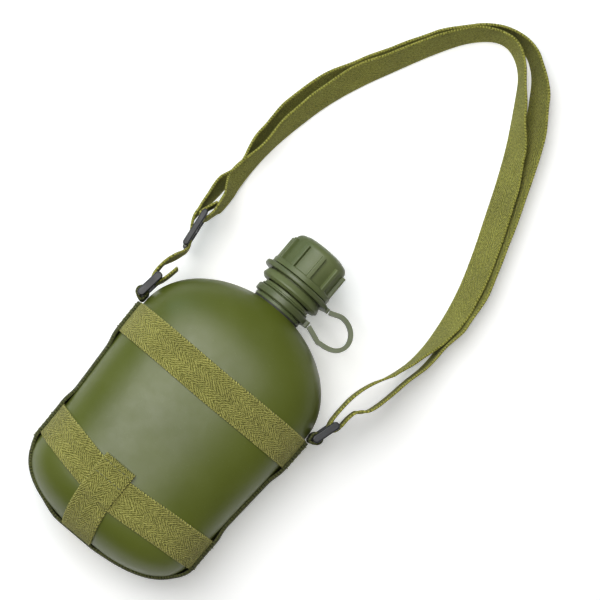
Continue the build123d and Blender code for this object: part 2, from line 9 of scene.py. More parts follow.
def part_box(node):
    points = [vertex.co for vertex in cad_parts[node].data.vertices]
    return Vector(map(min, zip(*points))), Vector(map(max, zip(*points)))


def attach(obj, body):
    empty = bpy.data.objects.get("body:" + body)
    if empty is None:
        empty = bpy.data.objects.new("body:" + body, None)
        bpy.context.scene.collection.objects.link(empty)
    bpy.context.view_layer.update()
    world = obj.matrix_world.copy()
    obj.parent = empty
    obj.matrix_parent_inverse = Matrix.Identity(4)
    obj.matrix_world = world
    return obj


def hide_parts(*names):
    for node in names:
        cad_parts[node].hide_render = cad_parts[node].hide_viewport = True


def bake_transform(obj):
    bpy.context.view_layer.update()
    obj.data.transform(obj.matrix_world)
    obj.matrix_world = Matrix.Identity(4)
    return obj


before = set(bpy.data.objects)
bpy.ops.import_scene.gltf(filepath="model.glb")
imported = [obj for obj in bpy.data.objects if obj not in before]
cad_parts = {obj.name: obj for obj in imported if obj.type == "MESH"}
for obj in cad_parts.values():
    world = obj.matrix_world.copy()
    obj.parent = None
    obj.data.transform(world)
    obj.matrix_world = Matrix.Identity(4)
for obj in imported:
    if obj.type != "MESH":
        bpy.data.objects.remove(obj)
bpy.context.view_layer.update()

# A belt canteen lying on its back: painted bottle, screw cap on a tether, webbing harness
# and a doubled shoulder strap. Metres; +Y runs to the cap, +Z comes out of the front.

# ---------------------------------------------------------------- sizes

WEB_WIDTH = 0.022
WEB_THICK = 0.0014
LAYER_GAP = 0.0003
ROWS_ACROSS = 12
MID_Z = 0.0388
FLOOR_Z = 0.0113  # middle of webbing that stands on its edge

upper_low, upper_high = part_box("upper_band")
lower_low, lower_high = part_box("lower_band")
UPPER_BAND_Y = (upper_low.y + upper_high.y) / 2
LOWER_BAND_Y = (lower_low.y + lower_high.y) / 2

# ---------------------------------------------------------------- camera

EYE = Vector((0.0, -0.025, 1.160))
LOOKS_AT = Vector((0.0075, 0.084, 0.020))
ROLL = math.radians(40)


def make_camera():
    """A long lens nearly straight above, turned so that the cap points up and to the right."""
    back = (EYE - LOOKS_AT).normalized()
    right = Vector((-math.sin(ROLL), math.cos(ROLL), 0)).cross(back).normalized()
    up = back.cross(right)
    data = bpy.data.cameras.new("camera")
    data.lens = 110
    data.sensor_width = 36
    camera = bpy.data.objects.new("camera", data)
    turn = Matrix((right, up, back)).transposed().to_4x4()
    camera.matrix_world = Matrix.Translation(EYE) @ turn
    bpy.context.scene.collection.objects.link(camera)
    bpy.context.scene.camera = camera


make_camera()

# ---------------------------------------------------------------- node helpers


class Shader:
    """Short calls for building one material's nodes."""

    def __init__(self, name):
        self.material = bpy.data.materials.new(name)
        self.material.use_nodes = True
        self.tree = self.material.node_tree
        self.principled = self.tree.nodes["Principled BSDF"]

    def node(self, kind, **values):
        made = self.tree.nodes.new(kind)
        for key, value in values.items():
            if key.startswith("in_"):
                made.inputs[key[3:].replace("_", " ")].default_value = value
            else:
                setattr(made, key, value)
        return made

    def link(self, source, target):
        self.tree.links.new(source, target)
        return target

    def math(self, operation, first, second=None, third=None):
        made = self.node("ShaderNodeMath", operation=operation)
        for socket, value in zip(made.inputs, (first, second, third)):
            if value is None:
                continue
            if isinstance(value, (int, float)):
                socket.default_value = value
            else:
                self.link(value, socket)
        return made.outputs[0]

    def ramp(self, factor, low, high, out_low=0.0, out_high=1.0):
        made = self.node("ShaderNodeMapRange", clamp=True)
        for socket, value in zip(made.inputs[1:5], (low, high, out_low, out_high)):
            socket.default_value = value
        self.link(factor, made.inputs[0])
        return made.outputs[0]

    def noise(self, vector, scale, detail=3.0, roughness=0.5):
        made = self.node("ShaderNodeTexNoise", in_Scale=scale, in_Detail=detail)
        made.inputs["Roughness"].default_value = roughness
        self.link(vector, made.inputs["Vector"])
        return made.outputs["Fac"]

    def mix(self, factor, first, second):
        made = self.node("ShaderNodeMix", data_type="RGBA")
        for socket, value in ((made.inputs[0], factor), (made.inputs[6], first), (made.inputs[7], second)):
            if isinstance(value, (int, float)):
                socket.default_value = value
            elif isinstance(value, tuple):
                socket.default_value = (*value, 1)
            else:
                self.link(value, socket)
        return made.outputs[2]

    def place(self):
        return self.node("ShaderNodeTexCoord").outputs["Object"]

    def bump(self, height, strength, distance, normal=None):
        made = self.node("ShaderNodeBump", in_Strength=strength, in_Distance=distance)
        self.link(height, made.inputs["Height"])
        if normal is not None:
            self.link(normal, made.inputs["Normal"])
        return made.outputs["Normal"]

    def finish(self, color, roughness, normal=None, **uniform):
        shader = self.principled
        self.link(color, shader.inputs["Base Color"])
        if isinstance(roughness, float):
            shader.inputs["Roughness"].default_value = roughness
        else:
            self.link(roughness, shader.inputs["Roughness"])
        if normal is not None:
            self.link(normal, shader.inputs["Normal"])
        for key, value in uniform.items():
            shader.inputs[key.replace("_", " ")].default_value = value
        return self.material


# ---------------------------------------------------------------- materials


def bottle_paint():
    """Semi-gloss olive paint: faint orange peel, cloudy tone, a few fine rubs."""
    s = Shader("bottle_paint")
    place = s.place()
    cloud = s.noise(place, 14, 4)
    tone = s.mix(s.ramp(cloud, 0.35, 0.65), (0.088, 0.110, 0.009), (0.107, 0.131, 0.013))
    speck = s.noise(place, 900, 2)
    tone = s.mix(s.ramp(speck, 0.66, 0.80, 0, 0.35), tone, (0.19, 0.22, 0.07))
    rub = s.noise(place, 60, 6, 0.7)
    rough = s.ramp(rub, 0.3, 0.75, 0.40, 0.52)
    peel = s.noise(place, 420, 2)
    normal = s.bump(peel, 0.12, 0.0002)
    return s.finish(tone, rough, normal, Specular_IOR_Level=0.6)


def moulded(name, dark, pale, roughness, grain=0.00008):
    """Moulded plastic: fine spark-eroded grain and cloudy tone."""
    s = Shader(name)
    place = s.place()
    cloud = s.noise(place, 40, 4)
    tone = s.mix(s.ramp(cloud, 0.35, 0.68), dark, pale)
    fine = s.noise(place, 2600, 3)
    tone = s.mix(s.ramp(fine, 0.35, 0.7, 0, 0.25), tone, pale)
    rough = s.ramp(s.noise(place, 160, 4), 0.3, 0.7, roughness - 0.05, roughness + 0.07)
    normal = s.bump(fine, 0.35, grain)
    return s.finish(tone, rough, normal, Specular_IOR_Level=0.45)


def seal_rubber():
    """Dark soft seal with a matt bloom."""
    s = Shader("seal_rubber")
    place = s.place()
    tone = s.mix(s.ramp(s.noise(place, 90, 4), 0.3, 0.7), (0.022, 0.024, 0.016), (0.040, 0.043, 0.030))
    return s.finish(tone, 0.7, s.bump(s.noise(place, 1500, 2), 0.3, 0.0001))


STRIPE = 0.0055  # width of a herringbone stripe
FLOAT_PITCH = 0.0022
THREAD_PITCH = 0.0010
PICK_PITCH = 0.0018  # along the selvedge


def webbing(name, dark, pale):
    """Cotton webbing in herringbone twill, in UV metres: slanting floats that turn back at
    each stripe, wandering and crinkled, a selvedge with pale picks, fuzz, uneven dyeing. Its colour
    follows the weave's height: painted shade in the low places and crinkles, painted highlight on the
    raised floats."""
    s = Shader(name)
    uv = s.node("ShaderNodeUVMap", uv_map="web").outputs[0]
    wander = s.node("ShaderNodeTexNoise", in_Scale=150.0, in_Detail=3.0)
    s.link(uv, wander.inputs["Vector"])
    moved = s.node("ShaderNodeVectorMath", operation="MULTIPLY_ADD")
    s.link(wander.outputs["Color"], moved.inputs[0])
    moved.inputs[1].default_value = (0.0042, 0.0022, 0)
    s.link(uv, moved.inputs[2])
    split = s.node("ShaderNodeSeparateXYZ")
    s.link(moved.outputs[0], split.inputs[0])
    plain = s.node("ShaderNodeSeparateXYZ")
    s.link(uv, plain.inputs[0])
    stripe = s.math("PINGPONG", split.outputs[1], STRIPE)
    slant = s.math("ADD", split.outputs[0], s.math("MULTIPLY", stripe, 1.5))
    floats = s.math("SINE", s.math("MULTIPLY", slant, 2 * math.pi / FLOAT_PITCH))
    thread = s.math("SINE", s.math("MULTIPLY", split.outputs[1], 2 * math.pi / THREAD_PITCH))
    yarn = s.math("MULTIPLY_ADD", thread, 0.2, s.math("MULTIPLY", floats, 0.5))
    crinkle = s.math("MULTIPLY_ADD", s.noise(s.place(), 850, 3, 0.6), 2.6, -1.3)
    fuzz = s.math("MULTIPLY_ADD", s.noise(s.place(), 2600, 2, 0.6), 1.0, -0.5)
    height = s.math("ADD", s.math("ADD", yarn, crinkle), fuzz)
    # colour by height: painted shade where the weave and its crinkles are low, painted highlight where
    # they are high
    painted_shade_and_highlight = s.ramp(height, -0.75, 0.85)
    dyed = s.ramp(s.noise(s.place(), 55, 4), 0.35, 0.7)
    # the dark colours are the painted shade of the hollows, the pale ones the painted highlight of the
    # floats
    low = s.mix(dyed, tuple(0.75 * c for c in dark), dark)
    high = s.mix(dyed, tuple(0.85 * c for c in pale), pale)
    tone = s.mix(painted_shade_and_highlight, low, high)
    from_middle = s.math("ABSOLUTE", s.math("SUBTRACT", plain.outputs[1], WEB_WIDTH / 2))
    edge = s.ramp(from_middle, 0.0096, 0.0104)
    pick = s.ramp(s.math("SINE", s.math("MULTIPLY", plain.outputs[0], 2 * math.pi / PICK_PITCH)), 0.1, 0.9)
    selvedge = s.math("MULTIPLY", s.math("MULTIPLY", edge, pick), 0.5)
    tone = s.mix(selvedge, tone, tuple(1.4 * c for c in pale))
    normal = s.bump(height, 1.0, 0.0004)
    return s.finish(tone, 0.92, normal, Sheen_Weight=0.08, Sheen_Roughness=0.5, Specular_IOR_Level=0.15)


def sewing_thread():
    """Two-ply thread with a slant twist."""
    s = Shader("sewing_thread")
    place = s.place()
    split = s.node("ShaderNodeSeparateXYZ")
    s.link(place, split.inputs[0])
    slant = s.math("ADD", split.outputs[0], s.math("ADD", split.outputs[1], split.outputs[2]))
    twist = s.math("SINE", s.math("MULTIPLY", slant, 2 * math.pi / 0.0006))
    tone = s.mix(s.ramp(twist, -1, 1), (0.10, 0.11, 0.03), (0.24, 0.25, 0.09))
    return s.finish(tone, 0.75, s.bump(twist, 0.5, 0.0001), Sheen_Weight=0.2)


def floor_surface():
    """Pale matt studio floor with a faint glow of its own."""
    s = Shader("floor_surface")
    tone = s.mix(s.noise(s.place(), 3, 2), (0.93, 0.93, 0.92), (0.95, 0.95, 0.94))
    return s.finish(tone, 0.9, Emission_Color=(1, 1, 1, 1), Emission_Strength=0.30)


PAINT = bottle_paint()
NECK = moulded("neck_plastic", (0.080, 0.104, 0.034), (0.130, 0.156, 0.060), 0.44)
CAP = moulded("cap_plastic", (0.088, 0.114, 0.036), (0.142, 0.170, 0.064), 0.46)
TETHER = moulded("tether_plastic", (0.080, 0.098, 0.036), (0.115, 0.138, 0.058), 0.40)
BUCKLE = moulded("buckle_plastic", (0.007, 0.007, 0.008), (0.016, 0.016, 0.018), 0.42, 0.00012)
RUBBER = seal_rubber()
BAND_WEB = webbing("band_webbing", (0.125, 0.130, 0.019), (0.570, 0.540, 0.150))
STRAP_WEB = webbing("strap_webbing", (0.124, 0.131, 0.015), (0.490, 0.476, 0.098))
# a much darker copy of the webbing for the side strap and buckle loops: painted shade for the webbing on
# the bottle's sides
SHADED_SIDE_WEB = webbing("shaded_side_webbing", (0.034, 0.040, 0.010), (0.120, 0.128, 0.040))
THREAD = sewing_thread()

CAD_FINISH = {
    "bottle_shell": (PAINT, "bottle_paint"),
    "neck_gasket": (RUBBER, "seal_rubber"),
    "neck_collar": (NECK, "neck_plastic"),
    "cap": (CAP, "cap_plastic"),
    "cap_seal": (RUBBER, "seal_rubber"),
    "tether_neck_ring": (TETHER, "tether_plastic"),
    "tether_cap_ring": (TETHER, "tether_plastic"),
    "tether_strap": (TETHER, "tether_plastic"),
    "left_buckle": (BUCKLE, "buckle_plastic"),
    "right_buckle": (BUCKLE, "buckle_plastic"),
    "slider": (BUCKLE, "buckle_plastic"),
}


def finish_cad_nodes():
    """Each CAD piece that shows as it is gets its material."""
    for name, (material, slot) in CAD_FINISH.items():
        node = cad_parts[name]
        node.data.materials.clear()
        node.data.materials.append(material)


finish_cad_nodes()

# ---------------------------------------------------------------- ribbons


def smooth_line(name, points):
    """Points along the NURBS line that has these points as its control points."""
    data = bpy.data.curves.new(name, "CURVE")
    data.dimensions = "3D"
    data.resolution_u = 10
    spline = data.splines.new("NURBS")
    spline.points.add(len(points) - 1)
    for knot, point in zip(spline.points, points):
        knot.co = (*point, 1)
    spline.order_u = 3
    spline.use_endpoint_u = True
    curve = bpy.data.objects.new(name, data)
    bpy.context.scene.collection.objects.link(curve)
    bpy.context.view_layer.update()
    mesh = bpy.data.meshes.new_from_object(curve)
    line = [v.co.copy() for v in mesh.vertices]
    bpy.data.objects.remove(curve)
    return line


def lengths_along(line):
    """Distance from the start at each point of a line."""
    run = [0.0]
    for a, b in zip(line, line[1:]):
        run.append(run[-1] + (b - a).length)
    return run


def at_station(table, distance, spacing):
    """Value of an evenly spaced table at a distance, eased between its entries."""
    place = min(max(distance / spacing, 0), len(table) - 1.001)
    i = int(place)
    share = place - i
    share = share * share * (3 - 2 * share)
    return table[i] * (1 - share) + table[i + 1] * share


def headings(line):
    """Unit tangent at each point of a line."""
    ahead = line[1:] + [line[-1]]
    behind = [line[0]] + line[:-1]
    return [(a - b).normalized() for a, b in zip(ahead, behind)]


def section_outline():
    """Cross-section of webbing: slightly thicker selvedges with rounded ends."""
    half, t = WEB_WIDTH / 2, WEB_THICK / 2
    body = [(-half + 0.0005 + (WEB_WIDTH - 0.001) * i / ROWS_ACROSS) for i in range(ROWS_ACROSS + 1)]
    top = [(a, t * (1.12 if abs(a) > half - 0.002 else 1)) for a in body]
    bottom = [(a, -b) for a, b in reversed(top)]
    right_end = [(half - 0.0001, t * 0.5), (half - 0.0001, -t * 0.5)]
    left_end = [(-half + 0.0001, -t * 0.5), (-half + 0.0001, t * 0.5)]
    return top + right_end + bottom + left_end


SECTION = section_outline()


def webbing_piece(name, rings, run, material, closed=False):
    """Webbing through rings of section points; run is the distance along at each ring. UV is
    in metres, u along and v across."""
    mesh = bpy.data.meshes.new(name)
    bm = bmesh.new()
    uv = bm.loops.layers.uv.new("web")
    rings = [[bm.verts.new(point) for point in ring] for ring in rings]
    for i in range(len(rings) if closed else len(rings) - 1):
        j = (i + 1) % len(rings)
        us = (run[i], run[i + 1], run[i + 1], run[i])
        for k in range(len(SECTION)):
            m = (k + 1) % len(SECTION)
            vs = (SECTION[k][0], SECTION[k][0], SECTION[m][0], SECTION[m][0])
            face = bm.faces.new((rings[i][k], rings[j][k], rings[j][m], rings[i][m]))
            for loop, u, v in zip(face.loops, us, vs):
                loop[uv].uv = (u, v + WEB_WIDTH / 2)
            face.smooth = True
    if not closed:
        for ring, u in ((rings[0][::-1], run[0]), (rings[-1], run[-1])):
            face = bm.faces.new(ring)
            for loop in face.loops:
                loop[uv].uv = (u, WEB_WIDTH / 2)
    bmesh.ops.recalc_face_normals(bm, faces=bm.faces)
    bm.to_mesh(mesh)
    bm.free()
    mesh.materials.append(material)
    piece = bpy.data.objects.new(name, mesh)
    bpy.context.scene.collection.objects.link(piece)
    return piece


def ribbon(name, line, across, material, closed=False):
    """Webbing along a line; across is the width's direction at each point, from the edge
    that is v = 0."""
    tangents = headings(line)
    if closed:
        tangents[0] = tangents[-1] = (line[1] - line[-2]).normalized()
    rings = []
    for i in range(len(line) - 1 if closed else len(line)):
        side = (across[i] - tangents[i] * across[i].dot(tangents[i])).normalized()
        normal = tangents[i].cross(side)
        rings.append([line[i] + side * a + normal * b for a, b in SECTION])
    return webbing_piece(name, rings, lengths_along(line), material, closed)


# ---------------------------------------------------------------- shoulder strap

STATION = 0.025  # spacing of the lean tables, along the strap from the slider
LEAN_START = 0.03  # where the lean tables start
LEAN_RISE = 0.026  # length over which a strand starts to lean
LEAN_END = 0.05  # upright by the right buckle, and the length before it that turns upright
OUTER_CLEAR = 0.037  # end of each strand's upright run through the slider
INNER_CLEAR = 0.024
INNER_LEAN = (20, 24, 12, 22, 26, 32, 25, 22, 17, 5, 1, 12, 28, 36, 38, 37, 34, 27, 13, 3)
OUTER_LEAN = (16, 18, 7, 18, 28, 30, 22, 17, 13, 3, 0, 8, 25, 33, 34, 33, 30, 27, 18, 6)

SLIDER_LEAN = math.radians(8.3)
SLIDER_CENTRE = Vector((-0.0705, 0.0750, 0))
SLIDER_ALONG = Vector((-math.sin(SLIDER_LEAN), math.cos(SLIDER_LEAN), 0))
SLIDER_OUT = Vector((-math.cos(SLIDER_LEAN), -math.sin(SLIDER_LEAN), 0))
LEFT_BAR = Vector((-0.0692, 0.0234, MID_Z))
RIGHT_BAR = Vector((0.0692, 0.0234, MID_Z))
BAR_SPACING = 0.013
LEFT_HEADING = math.radians(90 - 6.5)
RIGHT_HEADING = math.radians(90 - 16)
WRAP_RADIUS = 0.0034


def at_slider(along, out, z):
    """A point of the strap's route near the slider, in its own directions."""
    point = SLIDER_CENTRE + SLIDER_ALONG * along + SLIDER_OUT * out
    return Vector((point.x, point.y, z))


def around(bar, outer_leg, inner_leg):
    """Corners of the strap's turn under a buckle's upper bar, from its right to its left."""
    corners = (
        (WRAP_RADIUS, outer_leg),
        (WRAP_RADIUS, -WRAP_RADIUS),
        (-WRAP_RADIUS, -WRAP_RADIUS),
        (-WRAP_RADIUS, inner_leg),
    )
    return [bar + Vector((x, y, 0)) for x, y in corners]


def upper_bar(bar, heading):
    return bar + Vector((math.cos(heading), math.sin(heading), 0)) * BAR_SPACING


LEFT_TURN = around(upper_bar(LEFT_BAR, LEFT_HEADING), 0.010, 0.010)
LEFT_TURN[0] += Vector((0.002, 0.002, 0))
BELOW_SLIDER = at_slider(-0.018, -0.001, 0.029)
LEFT_JOINT = (LEFT_TURN[-1] + BELOW_SLIDER) * 0.5
RIGHT_TURN = around(upper_bar(RIGHT_BAR, RIGHT_HEADING), 0.006, 0.006)

OUTER_ROUTE = [
    LEFT_JOINT,
    BELOW_SLIDER,
    at_slider(-0.0105, -0.0031, 0.027),
    at_slider(0, 0.0031, 0.027),
    at_slider(0.009, 0.0054, 0.026),
    (-0.0746, 0.1015, 0.0195),
    (-0.0730, 0.1210, 0.0130),
    (-0.0744, 0.1440, FLOOR_Z),
    (-0.0704, 0.1715, FLOOR_Z),
    (-0.0640, 0.1970, FLOOR_Z),
    (-0.0544, 0.2215, FLOOR_Z),
    (-0.0436, 0.2445, FLOOR_Z),
    (-0.0324, 0.2675, FLOOR_Z),
    (-0.0198, 0.2905, FLOOR_Z),
    (0.0015, 0.3065, FLOOR_Z),
    (0.0260, 0.3000, FLOOR_Z),
    (0.0405, 0.2775, FLOOR_Z),
    (0.0525, 0.2535, FLOOR_Z),
    (0.0615, 0.2290, FLOOR_Z),
    (0.0710, 0.2050, FLOOR_Z),
    (0.0798, 0.1810, FLOOR_Z),
    (0.0889, 0.1565, FLOOR_Z),
    (0.0937, 0.1300, FLOOR_Z),
    (0.0954, 0.1060, 0.0135),
    (0.0910, 0.0870, 0.0220),
    (0.0878, 0.0700, 0.0300),
    (0.0835, 0.0560, 0.0365),
    RIGHT_TURN[0] + Vector((0, 0.009, 0)),
    RIGHT_TURN[0],
]

INNER_ROUTE = [
    RIGHT_TURN[-1],
    RIGHT_TURN[-1] + Vector((0, 0.009, 0)),
    (0.0715, 0.0625, 0.0350),
    (0.0760, 0.0740, 0.0290),
    (0.0830, 0.0860, 0.0205),
    (0.0880, 0.1065, 0.0130),
    (0.0863, 0.1300, FLOOR_Z),
    (0.0818, 0.1545, FLOOR_Z),
    (0.0739, 0.1790, FLOOR_Z),
    (0.0644, 0.2030, FLOOR_Z),
    (0.0554, 0.2265, FLOOR_Z),
    (0.0450, 0.2500, FLOOR_Z),
    (0.0330, 0.2720, FLOOR_Z),
    (0.0215, 0.2920, FLOOR_Z),
    (0.0020, 0.3005, FLOOR_Z),
    (-0.0156, 0.2860, FLOOR_Z),
    (-0.0284, 0.2640, FLOOR_Z),
    (-0.0392, 0.2415, FLOOR_Z),
    (-0.0500, 0.2185, FLOOR_Z),
    (-0.0594, 0.1940, FLOOR_Z),
    (-0.0649, 0.1695, FLOOR_Z),
    (-0.0690, 0.1445, FLOOR_Z),
    (-0.0686, 0.1220, 0.0130),
    (-0.0672, 0.1030, 0.0190),
    at_slider(0.020, -0.0054, 0.025),
    at_slider(0.0079, -0.0026, 0.027),
    at_slider(0.0079, 0.0026, 0.027),
    at_slider(0.0115, 0.0024, 0.027),
    at_slider(0.020, -0.0026, 0.026),
]


LOOP_MIDDLE = Vector((0.005, 0.15, 0))


def strap_piece(name, route, leans, from_slider, clear_of_slider):
    """One strand on its edge, its top leaning away from the middle of the strap's loop.
    leans are degrees at even stations, counted from the slider's end of the strand."""
    line = smooth_line(name + "_line", route)
    run = lengths_along(line)
    tangents = headings(line)
    across = []
    for i, (point, tangent) in enumerate(zip(line, tangents)):
        distance = run[i] if from_slider else run[-1] - run[i]
        sideways = tangent.cross(Vector((0, 0, 1))).normalized()
        if sideways.dot(point - LOOP_MIDDLE) < 0:
            sideways = -sideways
        rising = max(0, (distance - clear_of_slider) / LEAN_RISE)
        falling = max(0, (run[-1] - distance - LEAN_END) / LEAN_END)
        fade = min(1, rising, falling)
        lean = math.radians(at_station(leans, distance - LEAN_START, STATION)) * fade
        across.append(Vector((0, 0, 1)) * math.cos(lean) + sideways * math.sin(lean))
        # the lower edge stays where it stands, so the middle moves out and down
        point += sideways * math.sin(lean) * WEB_WIDTH / 2
        point.z -= (1 - math.cos(lean)) * WEB_WIDTH / 2
    piece = ribbon(name, line, across, STRAP_WEB)
    return piece, line


strap_outer, outer_line = strap_piece("strap_outer_web", OUTER_ROUTE, OUTER_LEAN, True, OUTER_CLEAR)
strap_inner, inner_line = strap_piece("strap_inner_web", INNER_ROUTE, INNER_LEAN, False, INNER_CLEAR)
left_line = smooth_line("left_end_line", LEFT_TURN + [LEFT_JOINT])
left_end = ribbon("strap_left_end_web", left_line, [Vector((0, 0, 1))] * len(left_line), STRAP_WEB)
right_line = smooth_line("right_turn_line", RIGHT_TURN)
right_turn = ribbon("strap_right_turn_web", right_line, [Vector((0, 0, 1))] * len(right_line), STRAP_WEB)

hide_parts("strap_outer")
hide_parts("strap_inner")
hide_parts("strap_left_end")
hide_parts("strap_right_turn")

# ---------------------------------------------------------------- webbing on the bottle


def surface_of(piece):
    """A piece's mesh, or a node's, for finding points on it."""
    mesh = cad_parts[piece].data if isinstance(piece, str) else piece.data
    return BVHTree.FromPolygons([v.co for v in mesh.vertices], [p.vertices for p in mesh.polygons])


BOTTLE = surface_of("bottle_shell")


def on_bottle(angle, y, lift):
    """Point at a lift off the bottle where a ray towards its axis meets it, and the normal.
    Angle 0 is the left side seen from the front and a quarter turn is the front."""
    out = Vector((-math.cos(angle), 0, math.sin(angle)))
    start = Vector((0, y, MID_Z)) + out * 0.2
    hit, normal, _, _ = BOTTLE.ray_cast(start, -out)
    if normal.dot(out) < 0:
        normal = -normal
    flat = Vector((normal.x, 0, normal.z)).normalized()
    return hit + flat * lift, flat


def even_angles(y, count):
    """Angles that divide the bottle's girth evenly."""
    fine = [2 * math.pi * i / 720 for i in range(721)]
    line = [on_bottle(a, y, 0)[0] for a in fine]
    run = lengths_along(line)
    angles, j = [], 0
    for i in range(count):
        goal = run[-1] * i / count
        while run[j + 1] < goal:
            j += 1
        share = (goal - run[j]) / (run[j + 1] - run[j])
        angles.append(fine[j] + (fine[j + 1] - fine[j]) * share)
    return angles + [2 * math.pi]


def band_piece(name, middle_y, sag, lift):
    """A webbing loop draped round the bottle: each row across follows the surface, and
    sag(angle) gives how far its middle lies from the band's level."""
    angles = even_angles(middle_y, 220)
    rings = []
    for angle in angles[:-1]:
        y = middle_y + sag(angle)
        lifts = [(y + across, lift + WEB_THICK / 2 + off) for across, off in SECTION]
        rings.append([on_bottle(angle, level, height)[0] for level, height in lifts])
    run = lengths_along([on_bottle(a, middle_y, lift)[0] for a in angles])
    piece = webbing_piece(name, rings, run, BAND_WEB, closed=True)
    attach(piece, "canteen")
    return piece


def upper_sag(angle):
    return 0.0004 * math.cos(2 * angle)


LEFT_PULL = 0.0070
FRONT_SAG = 0.0030
RIGHT_PULL = 0.0010


def lower_sag(angle):
    """The lower band is pulled up at the left and hangs lower at the front's middle."""
    front = max(math.sin(angle + 0.25), 0)
    left = max(math.cos(angle), 0)
    right = max(-math.cos(angle), 0)
    return LEFT_PULL * left**2 - FRONT_SAG * front**2 + RIGHT_PULL * right**2


upper_band = band_piece("upper_band_web", UPPER_BAND_Y, upper_sag, LAYER_GAP)
lower_band = band_piece("lower_band_web", LOWER_BAND_Y, lower_sag, LAYER_GAP)
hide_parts("upper_band")
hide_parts("lower_band")


def eased(value):
    """0 below 0, 1 above 1, and smooth between."""
    value = min(max(value, 0), 1)
    return value * value * (3 - 2 * value)


TAB_X = -0.0110
TAB_FOOT_X = -0.0050
TAB_BACK_Y = -0.0876  # how far the tab comes up the back
FOOT_Y = -0.0805  # where the bottle's bottom starts to round
OVER_ONE = LAYER_GAP + WEB_THICK / 2  # middle of webbing that lies on the bottle
OVER_TWO = OVER_ONE + WEB_THICK + 0.0003  # and of webbing that lies on that


def side_lift(point):
    """How far the side strap's middle is off the bottle: it rides over the bands and tab."""
    lower = LOWER_BAND_Y + (LEFT_PULL if point.x < 0 else RIGHT_PULL)
    nearest = min(abs(point.y - UPPER_BAND_Y), abs(point.y - lower)) - WEB_WIDTH / 2
    over = 1 - eased(nearest / 0.012)
    if point.y > UPPER_BAND_Y:
        over = 1
    if point.y < -0.1:
        over = 1 - eased((abs(point.x - TAB_FOOT_X) - WEB_WIDTH / 2) / 0.020)
    return OVER_ONE + 0.0001 + (OVER_TWO - OVER_ONE) * over


def beside_bottle(start, towards):
    """Point off the bottle at the strap's lift, where a level ray meets it."""
    hit, normal, _, _ = BOTTLE.ray_cast(start, towards)
    if normal.dot(towards) > 0:
        normal = -normal
    flat = Vector((normal.x, normal.y, 0)).normalized()
    return hit + flat * side_lift(hit)


def side_strap_piece():
    """Webbing down the left side, under the bottom and up the right."""
    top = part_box("side_strap")[1].y - 0.001
    turn_y = -0.070
    drop = [top + (turn_y - top) * i / 44 for i in range(44)]
    left = [beside_bottle(Vector((-0.2, y, MID_Z)), Vector((1, 0, 0))) for y in drop]
    right = [beside_bottle(Vector((0.2, y, MID_Z)), Vector((-1, 0, 0))) for y in reversed(drop)]
    under = []
    for i in range(91):
        angle = math.pi + math.pi * i / 90
        out = Vector((math.cos(angle), math.sin(angle), 0))
        under.append(beside_bottle(Vector((0, turn_y, MID_Z)) + out * 0.2, -out))
    line = left + under + right
    # the side strap takes the darker webbing, which carries painted shade
    piece = ribbon("side_strap_web", line, [Vector((0, 0, 1))] * len(line), SHADED_SIDE_WEB)
    for vertex in piece.data.vertices:
        normal = BOTTLE.find_nearest(vertex.co)[1]
        flat = Vector((normal.x, normal.y, 0)).normalized()
        vertex.co -= flat * 0.0015 * ((vertex.co.z - MID_Z) / (WEB_WIDTH / 2)) ** 2
    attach(piece, "canteen")
    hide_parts("side_strap")
    return piece


side_strap = side_strap_piece()


def tab_point(x, angle, lift):
    """Point off the bottle's foot, a quarter turn from the front being the bottom."""
    out = Vector((0, -math.sin(angle), math.cos(angle)))
    hit, normal, _, _ = BOTTLE.ray_cast(Vector((x, FOOT_Y, MID_Z)) + out * 0.2, -out)
    if normal.dot(out) < 0:
        normal = -normal
    return hit + Vector((0, normal.y, normal.z)).normalized() * lift


def tab_piece():
    """The tab: folded over the lower band's edge in front, round the bottom, up the back."""
    front_z = BOTTLE.ray_cast(Vector((TAB_X, FOOT_Y + 0.01, 0.2)), Vector((0, 0, -1)))[0].z
    fold = ((-0.0668, OVER_ONE), (-0.0652, OVER_ONE + 0.0001), (-0.0640, OVER_ONE + 0.0006),
            (-0.0636, OVER_ONE + 0.0013), (-0.0641, OVER_TWO + 0.0002), (-0.0655, OVER_TWO + 0.0003))
    line = [Vector((TAB_X, y, front_z + lift)) for y, lift in fold]
    line += [Vector((TAB_X, -0.0655 - 0.0015 * i, front_z + OVER_TWO)) for i in range(1, 11)]
    for i in range(1, 85):
        angle = math.pi * i / 90
        share = eased(angle / 1.3)
        over_band = 1 - eased((angle - 0.12) / 0.18)
        lift = OVER_ONE + (OVER_TWO - OVER_ONE) * over_band
        line.append(tab_point(TAB_X + (TAB_FOOT_X - TAB_X) * share, angle, lift))
    line = [p for p in line if p.z > MID_Z or p.y < TAB_BACK_Y]
    piece = ribbon("bottom_tab_web", line, [Vector((1, 0, 0))] * len(line), BAND_WEB)
    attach(piece, "canteen")
    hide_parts("bottom_tab")
    return piece


bottom_tab = tab_piece()


def loop_piece(name, node, bar):
    """A teardrop of webbing from the side strap's end round a buckle's lower bar."""
    tree = surface_of(node)
    line = []
    for i in range(49):
        angle = -math.pi / 2 + 2 * math.pi * i / 48
        out = Vector((math.cos(angle), math.sin(angle), 0))
        hit = tree.ray_cast(bar + out * 0.05, -out)[0]
        line.append(hit - out * WEB_THICK / 2)
    # the loop takes the darker webbing, which carries painted shade
    piece = ribbon(name, line, [Vector((0, 0, 1))] * len(line), SHADED_SIDE_WEB, closed=True)
    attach(piece, "canteen")
    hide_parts(node)
    return piece


left_loop = loop_piece("left_loop_web", "left_loop", LEFT_BAR)
right_loop = loop_piece("right_loop_web", "right_loop", RIGHT_BAR)

# ---------------------------------------------------------------- stitching


STITCH_REACH = 0.0011  # half its length
STITCH_RISE = 0.00028
STITCH_RADIUS = 0.00030
STITCH_LIFT = 0.0001
SQUARE_SIZE = 0.017


